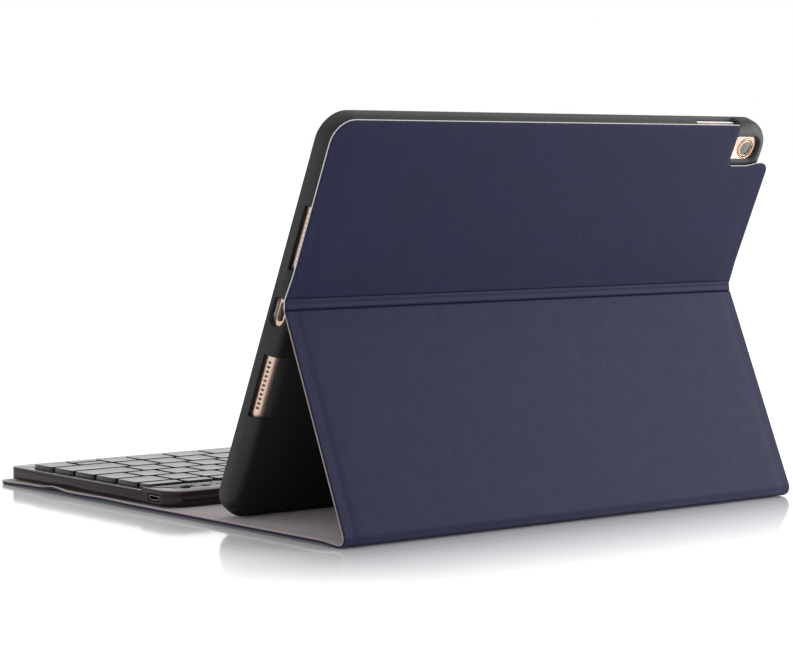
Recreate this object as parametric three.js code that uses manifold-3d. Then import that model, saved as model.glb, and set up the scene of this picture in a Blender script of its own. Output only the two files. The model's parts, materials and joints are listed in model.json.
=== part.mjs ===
// Folio keyboard case for a 9.7 inch class tablet, standing open on a table.
//
// A leather cover in three stiff panels carries a thin keyboard on its base and
// a soft bumper shell on its upper panel. The shell leans back, its foot rests
// on the base, and the lower panel props it up from behind like an easel.
//
// Millimetres. +X is the user's right, +Y points away from the user, +Z is up.
import * as THREE from 'three';
import { mergeVertices } from 'three/addons/utils/BufferGeometryUtils.js';
import ManifoldModule from 'manifold-3d';

const wasm = await ManifoldModule();
wasm.setup();
const { Manifold, Mesh: ManifoldMesh } = wasm;

// ---------------------------------------------------------------- dimensions

const GAP = 0.12; // between laminated sheets
const CLEAR = 0.3; // between parts that only rest on each other

const TABLET = { width: 243.4, height: 173, thick: 6.1, corner: 9, edge: 3.5, glass: 0.9 };

const SHELL = {
  width: 248,
  height: 177.4,
  thick: 9.6,
  corner: 12,
  edge: 6, // round from the side walls into the back
  rim: 0.8, // round of the front rim
  back: 1.8, // thickness of the back wall
  lean: THREE.MathUtils.degToRad(23.3),
};

const COVER = {
  width: 253,
  leather: 0.7,
  board: 0.6,
  lining: 0.5,
  inset: 6, // board edge to leather edge
  corner: 5,
  baseFront: -160,
  crease: 100, // height of the mid crease along the shell
  creaseHalf: 2, // soft leather each side of the crease
  upperTop: 177.7, // upper panel's top edge, along the shell
  lowerLength: 99.8, // lower panel, crease to table
  foldRadius: 4, // outer radius of the rear fold
};
const SHEET = COVER.leather + COVER.board + COVER.lining + 2 * GAP; // panel thickness
const PAD = { board: 0.8, adhesive: 0.5 }; // upper panel: leather, board, glue sheet
const UPPER = COVER.leather + PAD.board + PAD.adhesive + 3 * GAP;

const KEYBOARD = {
  width: 245,
  front: -157.5,
  rear: -30.5,
  frontCorner: 5,
  rearCorner: 9,
  floor: 1.0,
  wall: 1.5,
  bottom: SHEET + CLEAR,
  trayTop: 7.0,
  deckTop: 7.8,
  barFront: -53.2,
  barTop: 9.0,
  seam: 0.1,
};

const KEYS = {
  units: 14.5, // a row's width in key pitches
  pitchX: 16.36,
  pitchY: 16.5,
  gap: 1.9,
  firstRow: -144.5, // front edge of the row nearest the user
  functionDepth: 7.2,
  top: 9.6,
  flangeBottom: 5.9,
  flangeTop: 6.7,
  flangeOut: 0.8,
  window: 0.4, // clearance round a key in the deck
  corner: 1.4,
};

// ------------------------------------------------------------------- shapes

// Rounded rectangle, corner radii given front-left, front-right, rear-right, rear-left.
function outline(x0, y0, x1, y1, radii, steps = 4) {
  const [a, b, c, d] = Array.isArray(radii) ? radii : [radii, radii, radii, radii];
  const corners = [
    [x0 + a, y0 + a, a, Math.PI],
    [x1 - b, y0 + b, b, 1.5 * Math.PI],
    [x1 - c, y1 - c, c, 0],
    [x0 + d, y1 - d, d, 0.5 * Math.PI],
  ];
  const points = [];
  for (const [cx, cy, r, start] of corners) {
    for (let i = 0; i <= steps; i++) {
      const t = start + (i / steps) * 0.5 * Math.PI;
      points.push(new THREE.Vector2(cx + r * Math.cos(t), cy + r * Math.sin(t)));
    }
  }
  return points;
}

function centred(width, height, radius, steps) {
  return outline(-width / 2, -height / 2, width / 2, height / 2, radius, steps);
}

// A flat plate from z0 to z1, with holes.
function plate(points, z0, z1, holes = []) {
  const shape = new THREE.Shape(points);
  shape.holes = holes.map((h) => new THREE.Path(h));
  const geometry = new THREE.ExtrudeGeometry(shape, { depth: z1 - z0, bevelEnabled: false });
  return geometry.translate(0, 0, z0);
}

// A profile in the Y-Z plane, given in that plane, extruded along X.
function alongX(profile, width) {
  const geometry = new THREE.ExtrudeGeometry(new THREE.Shape(profile), {
    depth: width,
    bevelEnabled: false,
  });
  geometry.applyMatrix4(
    new THREE.Matrix4().makeBasis(
      new THREE.Vector3(0, 1, 0),
      new THREE.Vector3(0, 0, 1),
      new THREE.Vector3(1, 0, 0),
    ),
  );
  return geometry.translate(-width / 2, 0, 0);
}

// Closed skin through rings of equal point count, lowest ring first.
function loft(rings) {
  const count = rings[0].points.length;
  const positions = [];
  const index = [];
  for (const ring of rings) {
    for (const p of ring.points) positions.push(p.x, p.y, ring.z);
  }
  for (let k = 0; k + 1 < rings.length; k++) {
    for (let i = 0; i < count; i++) {
      const j = (i + 1) % count;
      const a = k * count + i;
      const b = k * count + j;
      index.push(a, b, b + count, a, b + count, a + count);
    }
  }
  const last = (rings.length - 1) * count;
  for (let i = 1; i + 1 < count; i++) {
    index.push(0, i + 1, i);
    index.push(last, last + i, last + i + 1);
  }
  const geometry = new THREE.BufferGeometry();
  geometry.setAttribute('position', new THREE.Float32BufferAttribute(positions, 3));
  geometry.setIndex(index);
  return geometry;
}

// A block whose upper (or lower) edges are rounded in a few steps.
function crowned(width, height, corner, z0, z1, edge, steps = 3) {
  const sign = Math.sign(z1 - z0);
  const rings = [{ points: centred(width, height, corner), z: z0 }];
  for (let i = 0; i <= steps; i++) {
    const t = (i / steps) * 0.5 * Math.PI;
    const inset = edge * (1 - Math.cos(t));
    rings.push({
      points: centred(width - 2 * inset, height - 2 * inset, corner - inset),
      z: z1 - sign * edge * (1 - Math.sin(t)),
    });
  }
  return loft(sign > 0 ? rings : rings.reverse());
}

// ------------------------------------------------------- join and cut solids

function toManifold(geometry) {
  const bare = geometry.clone();
  bare.deleteAttribute('normal');
  bare.deleteAttribute('uv');
  const welded = mergeVertices(bare, 1e-4);
  return new Manifold(
    new ManifoldMesh({
      numProp: 3,
      vertProperties: new Float32Array(welded.attributes.position.array),
      triVerts: new Uint32Array(welded.index.array),
    }),
  );
}

function toGeometry(solid) {
  const mesh = solid.getMesh();
  const geometry = new THREE.BufferGeometry();
  geometry.setAttribute('position', new THREE.BufferAttribute(mesh.vertProperties, 3));
  geometry.setIndex(new THREE.BufferAttribute(mesh.triVerts, 1));
  return geometry;
}

function cut(geometry, tools) {
  let solid = toManifold(geometry);
  for (const tool of tools) solid = solid.subtract(toManifold(tool));
  return toGeometry(solid);
}

function join(geometries) {
  return toGeometry(Manifold.union(geometries.map(toManifold)));
}

function boxAt(x0, x1, y0, y1, z0, z1) {
  return new THREE.BoxGeometry(x1 - x0, y1 - y0, z1 - z0).translate(
    (x0 + x1) / 2,
    (y0 + y1) / 2,
    (z0 + z1) / 2,
  );
}

function rod(radius, z0, z1, x = 0, y = 0, segments = 20) {
  return new THREE.CylinderGeometry(radius, radius, z1 - z0, segments)
    .rotateX(Math.PI / 2)
    .translate(x, y, (z0 + z1) / 2);
}

// --------------------------------------------------------------- materials

const LOOKS = {
  leather: { color: 0x3a3c5c, roughness: 0.48, metalness: 0 },
  lining: { color: 0xa79d98, roughness: 0.95, metalness: 0 },
  board: { color: 0x8a8275, roughness: 0.9, metalness: 0 },
  adhesive: { color: 0xd8d2bd, roughness: 0.6, metalness: 0 },
  rubber: { color: 0x2a2a2c, roughness: 0.6, metalness: 0 },
  keyPlastic: { color: 0x221d1c, roughness: 0.35, metalness: 0 },
  gold: { color: 0xe2bfa2, roughness: 0.35, metalness: 0.85 },
  glass: { color: 0x15161a, roughness: 0.06, metalness: 0 },
  steel: { color: 0xb9bcc0, roughness: 0.35, metalness: 0.9 },
  circuit: { color: 0x1f5a3c, roughness: 0.6, metalness: 0 },
  cell: { color: 0x9fa3a8, roughness: 0.4, metalness: 0.2 },
  film: { color: 0x3c4a4e, roughness: 0.4, metalness: 0 },
  lamp: { color: 0xcfd4d6, roughness: 0.3, metalness: 0 },
};

function add(parent, name, geometry, look) {
  const flat = geometry.index ? geometry.toNonIndexed() : geometry;
  flat.computeVertexNormals();
  const mesh = new THREE.Mesh(flat, new THREE.MeshStandardMaterial(LOOKS[look]));
  mesh.name = name;
  parent.add(mesh);
  return mesh;
}

// -------------------------------------------------------- where things stand

const standing = new THREE.Group();
standing.name = 'tablet_keyboard_case';

const sinLean = Math.sin(SHELL.lean);
const cosLean = Math.cos(SHELL.lean);

// The shell touches the base along the round of its lower back edge.
const shellFoot = new THREE.Vector3(
  0,
  0,
  SHEET + CLEAR + SHELL.edge * (1 - cosLean) + (SHELL.thick - SHELL.edge) * sinLean,
);
// Shell frame: x right, y up the shell, z out of the screen. The back is at -z.
const shellFrame = new THREE.Group();
shellFrame.position.copy(shellFoot);
shellFrame.rotation.x = Math.PI / 2 - SHELL.lean;

// The mid crease lies on the upper panel's outer face.
const creaseDepth = SHELL.thick + UPPER;
const crease = new THREE.Vector3(
  0,
  COVER.crease * sinLean + creaseDepth * cosLean,
  shellFoot.z + COVER.crease * cosLean - creaseDepth * sinLean,
);
// The lower panel slants from the crease down to the table.
const slant = Math.asin(crease.z / COVER.lowerLength);
const rearEdge = crease.y + COVER.lowerLength * Math.cos(slant);
const foldReach = COVER.foldRadius / Math.tan(slant / 2);
const fold = new THREE.Vector3(0, rearEdge - foldReach, COVER.foldRadius);
// Lower panel frame: origin on the fold's axis, y up the panel, z to the inside.
const lowerFrame = new THREE.Group();
lowerFrame.position.copy(fold);
lowerFrame.rotation.x = Math.PI - slant;

standing.add(shellFrame, lowerFrame);

// -------------------------------------------------------- base of the cover

const half = COVER.width / 2;
const baseRear = fold.y - 0.2;
const boardZ = COVER.leather + GAP;
const liningZ = boardZ + COVER.board + GAP;
const MAGNETS = { width: 150, depth: 9, rows: [-151, -42] };

add(
  standing,
  'base_leather',
  plate(outline(-half, COVER.baseFront, half, baseRear, [COVER.corner, COVER.corner, 1, 1]), 0, COVER.leather),
  'leather',
);
add(
  standing,
  'base_board',
  plate(
    outline(-half + COVER.inset, COVER.baseFront + COVER.inset, half - COVER.inset, baseRear - COVER.inset, 3),
    boardZ,
    boardZ + COVER.board,
    MAGNETS.rows.map((y) =>
      outline(-MAGNETS.width / 2 - 0.5, y - 0.5, MAGNETS.width / 2 + 0.5, y + MAGNETS.depth + 0.5, 0.5, 1),
    ),
  ),
  'board',
);
add(
  standing,
  'base_lining',
  plate(
    outline(-half + 0.6, COVER.baseFront + 0.6, half - 0.6, baseRear, [COVER.corner, COVER.corner, 1, 1]),
    liningZ,
    SHEET,
  ),
  'lining',
);
['base_magnet_front', 'base_magnet_rear'].forEach((name, i) => {
  const y = MAGNETS.rows[i];
  add(
    standing,
    name,
    boxAt(-MAGNETS.width / 2, MAGNETS.width / 2, y, y + MAGNETS.depth, boardZ + 0.05, boardZ + COVER.board - 0.05),
    'steel',
  );
});

// Leather wrapped round the rear fold, from under the base to behind the lower panel.
{
  const inner = COVER.foldRadius - 1.6;
  const start = -Math.PI / 2;
  const end = Math.PI / 2 - slant;
  const arc = (radius, from, to) =>
    Array.from({ length: 13 }, (_, i) => {
      const t = from + ((to - from) * i) / 12;
      return new THREE.Vector2(fold.y + radius * Math.cos(t), fold.z + radius * Math.sin(t));
    });
  add(
    standing,
    'rear_fold_strip',
    alongX([...arc(COVER.foldRadius, start, end), ...arc(inner, end, start)], COVER.width),
    'leather',
  );
}

// -------------------------------------------------------------- lower panel

const foldToCrease = COVER.lowerLength - foldReach;
const lowerTop = foldToCrease - COVER.creaseHalf;
const lowerOuter = -COVER.foldRadius;

add(
  lowerFrame,
  'lower_leather',
  plate(outline(-half, 0.2, half, lowerTop, 1, 1), lowerOuter, lowerOuter + COVER.leather),
  'leather',
);
add(
  lowerFrame,
  'lower_board',
  plate(
    outline(-half + COVER.inset, COVER.inset, half - COVER.inset, lowerTop - 1, 3),
    lowerOuter + boardZ,
    lowerOuter + boardZ + COVER.board,
  ),
  'board',
);
add(
  lowerFrame,
  'lower_lining',
  plate(outline(-half + 0.6, 0.2, half - 0.6, lowerTop, 1, 1), lowerOuter + liningZ, lowerOuter + SHEET),
  'lining',
);

// Bare leather in the mid crease, a shallow valley seen from behind.
{
  const up = new THREE.Vector2(sinLean, cosLean);
  const down = new THREE.Vector2(Math.cos(slant), -Math.sin(slant));
  const reach = COVER.creaseHalf - 0.1;
  const at = (dir, along, inward) => {
    const normal = dir === up ? [-cosLean, sinLean] : [-Math.sin(slant), -Math.cos(slant)];
    return new THREE.Vector2(
      crease.y + dir.x * along + normal[0] * inward,
      crease.z + dir.y * along + normal[1] * inward,
    );
  };
  // Where the two inner faces meet, on the bisector of the valley.
  const miter = COVER.leather / Math.cos((SHELL.lean + Math.PI / 2 - slant) / 2);
  const bisector = up.clone().add(down).normalize();
  const vertex = new THREE.Vector2(crease.y - bisector.x * miter, crease.z - bisector.y * miter);
  add(
    standing,
    'mid_crease_strip',
    alongX(
      [
        at(down, reach, 0),
        at(up, 0, 0),
        at(up, reach, 0),
        at(up, reach, COVER.leather),
        vertex,
        at(down, reach, COVER.leather),
      ],
      COVER.width,
    ),
    'leather',
  );
}

// ------------------------------------------- upper panel, glued on the shell

const CAMERA = { x: -109, y: 166, width: 17, height: 10.8, corner: 4.5 };
const NOTCH = { x: -99.7, y: 158.4 };

// The panel's outline, with its corner cut away round the camera.
function upperOutline(inset) {
  const left = -half + inset;
  const right = half - inset;
  const low = COVER.crease + COVER.creaseHalf + (inset > 0 ? 1 : 0);
  const high = COVER.upperTop - inset;
  const notchX = NOTCH.x + inset;
  const notchY = NOTCH.y - inset;
  const arc = (cx, cy, r, from, to) =>
    Array.from({ length: 6 }, (_, i) => {
      const t = THREE.MathUtils.degToRad(from + ((to - from) * i) / 5);
      return new THREE.Vector2(cx + r * Math.cos(t), cy + r * Math.sin(t));
    });
  return [
    new THREE.Vector2(left, low),
    new THREE.Vector2(right, low),
    ...arc(right - 10, high - 10, 10, 0, 90),
    ...arc(notchX + 1, high - 1, 1, 90, 180),
    ...arc(notchX - 3.5, notchY + 3.5, 3.5, 0, -90),
    ...arc(left + 5, notchY - 5, 5, 90, 180),
  ];
}

const upperBack = -(SHELL.thick + UPPER);
const padZ = upperBack + boardZ;
add(shellFrame, 'upper_leather', plate(upperOutline(0), upperBack, upperBack + COVER.leather), 'leather');
add(shellFrame, 'upper_board', plate(upperOutline(3), padZ, padZ + PAD.board), 'board');
add(
  shellFrame,
  'upper_adhesive',
  plate(
    outline(-100, COVER.crease + 6, 95, 168, 6),
    padZ + PAD.board + GAP,
    padZ + PAD.board + GAP + PAD.adhesive,
  ),
  'adhesive',
);

// ------------------------------------------------------------ bumper shell

const pocketBack = -(SHELL.thick - SHELL.back);
const tabletLow = (SHELL.height - TABLET.height) / 2;
const midHeight = SHELL.height / 2;

// A cutout through a side wall: x, y and z ranges in the shell frame.
const CUTOUTS = [
  [118, 126, 47.5, 75, -9.1, -3.4], // lower loudspeaker
  [118, 126, 87.5, 99.5, -9.0, -2.0], // charging port
  [118, 126, 112, 139.5, -9.1, -3.4], // upper loudspeaker
  [-104, -78, SHELL.height - 5, SHELL.height + 1, -8.8, -2.6], // volume buttons
  [-126, -118, 149, 164, -8.8, -2.6], // power button
  [-126, -118, 11, 19, -8.8, -1.6], // headphone socket
];

{
  const outer = loft([
    ...Array.from({ length: 5 }, (_, i) => {
      const t = (1 - i / 4) * 0.5 * Math.PI;
      const inset = SHELL.edge * (1 - Math.cos(t));
      return {
        points: centred(SHELL.width - 2 * inset, SHELL.height - 2 * inset, SHELL.corner - inset, 5),
        z: -(SHELL.thick - SHELL.edge) - SHELL.edge * Math.sin(t),
      };
    }),
    { points: centred(SHELL.width, SHELL.height, SHELL.corner, 5), z: -SHELL.rim },
    {
      points: centred(SHELL.width - SHELL.rim, SHELL.height - SHELL.rim, SHELL.corner - SHELL.rim / 2, 5),
      z: 0,
    },
  ]).translate(0, midHeight, 0);
  const pocket = plate(
    centred(TABLET.width + 2 * CLEAR, TABLET.height + 2 * CLEAR, TABLET.corner + CLEAR, 5),
    pocketBack,
    1,
  ).translate(0, midHeight, 0);
  const cameraHole = plate(
    outline(
      CAMERA.x - CAMERA.width / 2,
      CAMERA.y - CAMERA.height / 2,
      CAMERA.x + CAMERA.width / 2,
      CAMERA.y + CAMERA.height / 2,
      CAMERA.corner,
    ),
    -SHELL.thick - 1,
    pocketBack + 1,
  );
  add(
    shellFrame,
    'bumper_shell',
    cut(outer, [pocket, cameraHole, ...CUTOUTS.map((c) => boxAt(...c))]),
    'rubber',
  );
}

// ------------------------------------------------------------------ tablet

const tabletFrame = new THREE.Group(); // origin at the tablet's lower edge, z on its glass
tabletFrame.position.set(0, tabletLow, pocketBack + CLEAR + TABLET.thick);
shellFrame.add(tabletFrame);

const HOME = { x: TABLET.width / 2 - 10.5, radius: 5.2, travel: 0.3 };
const LENS = { x: -111.8, y: 165.4 - tabletLow, radius: 4.5 };
// The tablet's side buttons: name, centre, length along the edge.
const SIDE_BUTTONS = [
  { name: 'tablet_volume_up', x: -84.5, y: TABLET.height, length: 9, along: 'x' },
  { name: 'tablet_volume_down', x: -97, y: TABLET.height, length: 9, along: 'x' },
  { name: 'tablet_power_button', x: -TABLET.width / 2, y: 154.3, length: 10, along: 'y' },
];
const BUTTON = { depth: 2.4, proud: 0.12, well: 1.6, z: -3.2 };

// The block that a side button (grow 0) or its well (grow > 0) takes up.
function sideButton({ x, y, length, along }, grow, out) {
  const l = length / 2 + grow;
  const w = BUTTON.depth / 2 + grow;
  const z = [BUTTON.z - w, BUTTON.z + w];
  const bottom = BUTTON.well + (grow > 0 ? 0.5 : 0);
  return along === 'x'
    ? boxAt(x - l, x + l, y - bottom, y + out, ...z)
    : boxAt(x - out, x + bottom, y - l, y + l, ...z);
}

add(
  tabletFrame,
  'tablet_body',
  cut(
    crowned(
      TABLET.width,
      TABLET.height,
      TABLET.corner,
      -TABLET.glass - GAP,
      -TABLET.thick,
      TABLET.edge,
    ).translate(0, TABLET.height / 2, 0),
    [
      boxAt(TABLET.width / 2 - 6, TABLET.width / 2 + 1, 86.8, 95.8, -4.6, -1.8), // charging port
      rod(LENS.radius + 0.15, -TABLET.thick - 1, -TABLET.thick + 2.2, LENS.x, LENS.y, 24),
      rod(HOME.radius + 0.2, -2.6, 0, HOME.x, TABLET.height / 2, 24),
      ...SIDE_BUTTONS.map((b) => sideButton(b, 0.15, 1)),
    ],
  ),
  'gold',
);
add(
  tabletFrame,
  'tablet_glass',
  plate(
    centred(TABLET.width - 1, TABLET.height - 1, TABLET.corner - 0.5, 5),
    -TABLET.glass,
    0,
    [centred(2 * HOME.radius + 0.4, 2 * HOME.radius + 0.4, HOME.radius + 0.2, 5).map((p) => new THREE.Vector2(p.x + HOME.x, p.y))],
  ).translate(0, TABLET.height / 2, 0),
  'glass',
);
add(tabletFrame, 'tablet_home_button', rod(HOME.radius, -2.1, -0.1, HOME.x, TABLET.height / 2, 24), 'glass');
add(
  tabletFrame,
  'tablet_camera_ring',
  cut(rod(LENS.radius, -TABLET.thick - 0.1, -TABLET.thick + 2, LENS.x, LENS.y, 24), [
    rod(LENS.radius - 0.7, -TABLET.thick - 1, -TABLET.thick + 1.4, LENS.x, LENS.y, 24),
  ]),
  'steel',
);
add(
  tabletFrame,
  'tablet_camera_lens',
  rod(LENS.radius - 0.85, -TABLET.thick + 0.1, -TABLET.thick + 1.3, LENS.x, LENS.y, 24),
  'glass',
);
for (const button of SIDE_BUTTONS) add(tabletFrame, button.name, sideButton(button, 0, BUTTON.proud), 'steel');

// ---------------------------------------------------------------- keyboard

const kbHalf = KEYBOARD.width / 2;
const frontCorners = [KEYBOARD.frontCorner, KEYBOARD.frontCorner];
const rearCorners = [KEYBOARD.rearCorner, KEYBOARD.rearCorner];

function keyboardOutline(inset, y0 = KEYBOARD.front + inset) {
  return outline(-kbHalf + inset, y0, kbHalf - inset, KEYBOARD.rear - inset, [
    ...(y0 > KEYBOARD.front + inset ? [0.5, 0.5] : frontCorners.map((r) => r - inset)),
    ...rearCorners.map((r) => r - inset),
  ]);
}

const USB = { y: -44, width: 7.6, depth: 5.4, bottom: 4.1, top: 6.7 };
const SWITCH = { x: 106, y: -44, length: 3.6, width: 2.6, travel: 2.2 };
const PAIRING = { x: 95, y: -44, radius: 1.9 };
const INDICATORS = [88, 83.5, 79];

add(
  standing,
  'keyboard_bottom_case',
  cut(plate(keyboardOutline(0), KEYBOARD.bottom, KEYBOARD.trayTop), [
    plate(keyboardOutline(KEYBOARD.wall), KEYBOARD.bottom + KEYBOARD.floor, KEYBOARD.trayTop + 1),
    boxAt(
      kbHalf - 4,
      kbHalf + 1,
      USB.y - USB.width / 2 - 0.2,
      USB.y + USB.width / 2 + 0.2,
      USB.bottom - 0.2,
      KEYBOARD.trayTop + 1,
    ),
  ]),
  'keyPlastic',
);

// Key rows from the user backwards: [name, width in units]; a name that starts
// with a dot belongs to the row's joined group of character keys.
const ROWS = [
  {
    keys: [
      ['key_function', 1],
      ['key_control', 1],
      ['key_option_left', 1],
      ['key_command_left', 1.25],
      ['key_space', 4.75],
      ['key_command_right', 1.25],
      ['key_option_right', 1.25],
      ['key_arrow_left', 1],
      ['key_arrow_up_down', 1],
      ['key_arrow_right', 1],
    ],
  },
  { group: 'keys_bottom_letters', keys: [['key_shift_left', 2.5], ...characters(10), ['key_shift_right', 2]] },
  { group: 'keys_home_letters', keys: [['key_caps_lock', 1.8], ...characters(11), ['key_enter', 1.7]] },
  { group: 'keys_top_letters', keys: [['key_tab', 1.5], ...characters(13)] },
  { group: 'keys_numbers', keys: [['.', 1.25], ...characters(12), ['key_backspace', 1.25]] },
  { group: 'keys_media', keys: [['key_escape', 1.25], ...characters(12), ['.', 1.25]], slim: true },
];

function characters(count) {
  return Array.from({ length: count }, () => ['.', 1]);
}

const keyHeight = KEYS.pitchY - KEYS.gap;
const caps = []; // every key cap: name, group, centre and size
ROWS.forEach((row, r) => {
  const depth = row.slim ? KEYS.functionDepth : keyHeight;
  const y0 = KEYS.firstRow + r * KEYS.pitchY;
  let x = (-KEYS.units / 2) * KEYS.pitchX;
  for (const [name, units] of row.keys) {
    const width = units * KEYS.pitchX - KEYS.gap;
    const cap = { x: x + (units * KEYS.pitchX) / 2, width, group: name === '.' ? row.group : null };
    if (name === 'key_arrow_up_down') {
      const slim = (depth - KEYS.gap) / 2;
      caps.push({ ...cap, name: 'key_arrow_down', y: y0 + slim / 2, depth: slim });
      caps.push({ ...cap, name: 'key_arrow_up', y: y0 + depth - slim / 2, depth: slim });
    } else {
      caps.push({ ...cap, name, y: y0 + depth / 2, depth });
    }
    x += units * KEYS.pitchX;
  }
});

// One key cap: straight sides, a chamfered top edge and, when it stands alone, its flange.
function capGeometry({ x, y, width, depth }, flange) {
  const ring = (grow, z) => ({ points: centred(width + 2 * grow, depth + 2 * grow, KEYS.corner, 1), z });
  return loft([
    ...(flange
      ? [ring(KEYS.flangeOut, KEYS.flangeBottom), ring(KEYS.flangeOut, KEYS.flangeTop)]
      : []),
    ring(0, flange ? KEYS.flangeTop + 0.01 : KEYS.flangeTop - 0.3),
    ring(-0.2, KEYS.top - 0.5),
    ring(-0.7, KEYS.top),
  ]).translate(x, y, 0);
}

add(
  standing,
  'keyboard_deck',
  plate(
    outline(-kbHalf, KEYBOARD.front, kbHalf, KEYBOARD.barFront - KEYBOARD.seam, [...frontCorners, 0.3, 0.3]),
    KEYBOARD.trayTop + KEYBOARD.seam,
    KEYBOARD.deckTop,
    caps.map(({ x, y, width, depth }) =>
      centred(width + 2 * KEYS.window, depth + 2 * KEYS.window, KEYS.corner, 1).map(
        (p) => new THREE.Vector2(p.x + x, p.y + y),
      ),
    ),
  ),
  'keyPlastic',
);

{
  const lid = plate(keyboardOutline(0, KEYBOARD.barFront), KEYBOARD.trayTop + KEYBOARD.seam, KEYBOARD.barTop);
  add(
    standing,
    'keyboard_bar_cover',
    cut(lid, [
      plate(keyboardOutline(KEYBOARD.wall, KEYBOARD.barFront + KEYBOARD.wall), 6, KEYBOARD.barTop - 1),
      boxAt(
        SWITCH.x - SWITCH.travel - SWITCH.length / 2 - 0.3,
        SWITCH.x + SWITCH.length / 2 + 0.3,
        SWITCH.y - SWITCH.width / 2 - 0.2,
        SWITCH.y + SWITCH.width / 2 + 0.2,
        7,
        10,
      ),
      rod(PAIRING.radius + 0.2, 7, 10, PAIRING.x, PAIRING.y),
      ...INDICATORS.map((x) => rod(0.8, 7, 10, x, PAIRING.y, 12)),
    ]),
    'keyPlastic',
  );
}

add(
  standing,
  'keyboard_power_switch',
  join([
    boxAt(
      SWITCH.x - SWITCH.length / 2,
      SWITCH.x + SWITCH.length / 2,
      SWITCH.y - SWITCH.width / 2,
      SWITCH.y + SWITCH.width / 2,
      7.2,
      9.5,
    ),
    boxAt(SWITCH.x - 3.4, SWITCH.x + 3.4, SWITCH.y - 2.4, SWITCH.y + 2.4, 7.2, 7.85),
  ]),
  'lamp',
);
add(
  standing,
  'keyboard_pairing_button',
  join([
    rod(PAIRING.radius, 7.1, 9.25, PAIRING.x, PAIRING.y),
    rod(PAIRING.radius + 0.7, 7.1, 7.8, PAIRING.x, PAIRING.y),
  ]),
  'lamp',
);
add(
  standing,
  'keyboard_indicator_lens',
  join([
    boxAt(INDICATORS[2] - 2, INDICATORS[0] + 2, PAIRING.y - 1.6, PAIRING.y + 1.6, 7.1, 7.8),
    ...INDICATORS.map((x) => rod(0.6, 7.5, KEYBOARD.barTop, x, PAIRING.y, 12)),
  ]),
  'lamp',
);

// Inside the tray: keepers for the base's magnets, key contacts, electronics.
const trayFloor = KEYBOARD.bottom + KEYBOARD.floor;
['keyboard_keeper_front', 'keyboard_keeper_rear'].forEach((name, i) => {
  const y = MAGNETS.rows[i];
  const right = i === 0 ? 70 : 25; // the main board takes the rear right corner
  add(standing, name, boxAt(-70, right, y + 1, y + MAGNETS.depth - 1, trayFloor + 0.05, trayFloor + 0.4), 'steel');
});
add(
  standing,
  'keyboard_contact_sheet',
  plate(outline(-119, -141.2, 119, -55, 2, 1), trayFloor + 0.1, trayFloor + 0.7),
  'film',
);
add(
  standing,
  'keyboard_battery',
  plate(outline(-60, -52, 20, -33.5, 2, 2), trayFloor + 0.6, 6.9),
  'cell',
);
add(
  standing,
  'keyboard_main_board',
  boxAt(30, kbHalf - 4.5, -51, -34, trayFloor + 0.25, USB.bottom - 0.1),
  'circuit',
);
add(
  standing,
  'keyboard_usb_socket',
  cut(
    boxAt(
      kbHalf - USB.depth - 0.4,
      kbHalf - 0.4,
      USB.y - USB.width / 2,
      USB.y + USB.width / 2,
      USB.bottom,
      USB.top,
    ),
    [
      boxAt(
        kbHalf - USB.depth + 0.6,
        kbHalf + 1,
        USB.y - USB.width / 2 + 0.4,
        USB.y + USB.width / 2 - 0.4,
        USB.bottom + 0.4,
        USB.top - 0.4,
      ),
    ],
  ),
  'steel',
);

for (const cap of caps.filter((c) => !c.group)) {
  add(standing, cap.name, capGeometry(cap, true), 'keyPlastic');
}
// The character keys of a row stand on one carrier strip each.
for (const { group } of ROWS.filter((r) => r.group)) {
  const members = caps.filter((c) => c.group === group);
  const first = members[0];
  const last = members[members.length - 1];
  const carrier = boxAt(
    first.x - first.width / 2 - KEYS.flangeOut,
    last.x + last.width / 2 + KEYS.flangeOut,
    first.y - first.depth / 2 - KEYS.flangeOut,
    first.y + first.depth / 2 + KEYS.flangeOut,
    KEYS.flangeBottom,
    KEYS.flangeTop,
  );
  add(standing, group, join([carrier, ...members.map((c) => capGeometry(c, false))]), 'keyPlastic');
}

// ------------------------------------- origin under the middle of the object

standing.updateMatrixWorld(true);
const bounds = new THREE.Box3().setFromObject(standing, true);
const object = new THREE.Group();
object.name = 'object';
standing.position.set(
  -(bounds.min.x + bounds.max.x) / 2,
  -(bounds.min.y + bounds.max.y) / 2,
  -bounds.min.z,
);
object.add(standing);

export default object;
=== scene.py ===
"""Looks of the folding tablet keyboard case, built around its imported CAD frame."""
import json
import math

import bmesh
import bpy
import numpy as np
from mathutils import Matrix, Vector, noise
from mathutils.geometry import delaunay_2d_cdt


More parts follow.
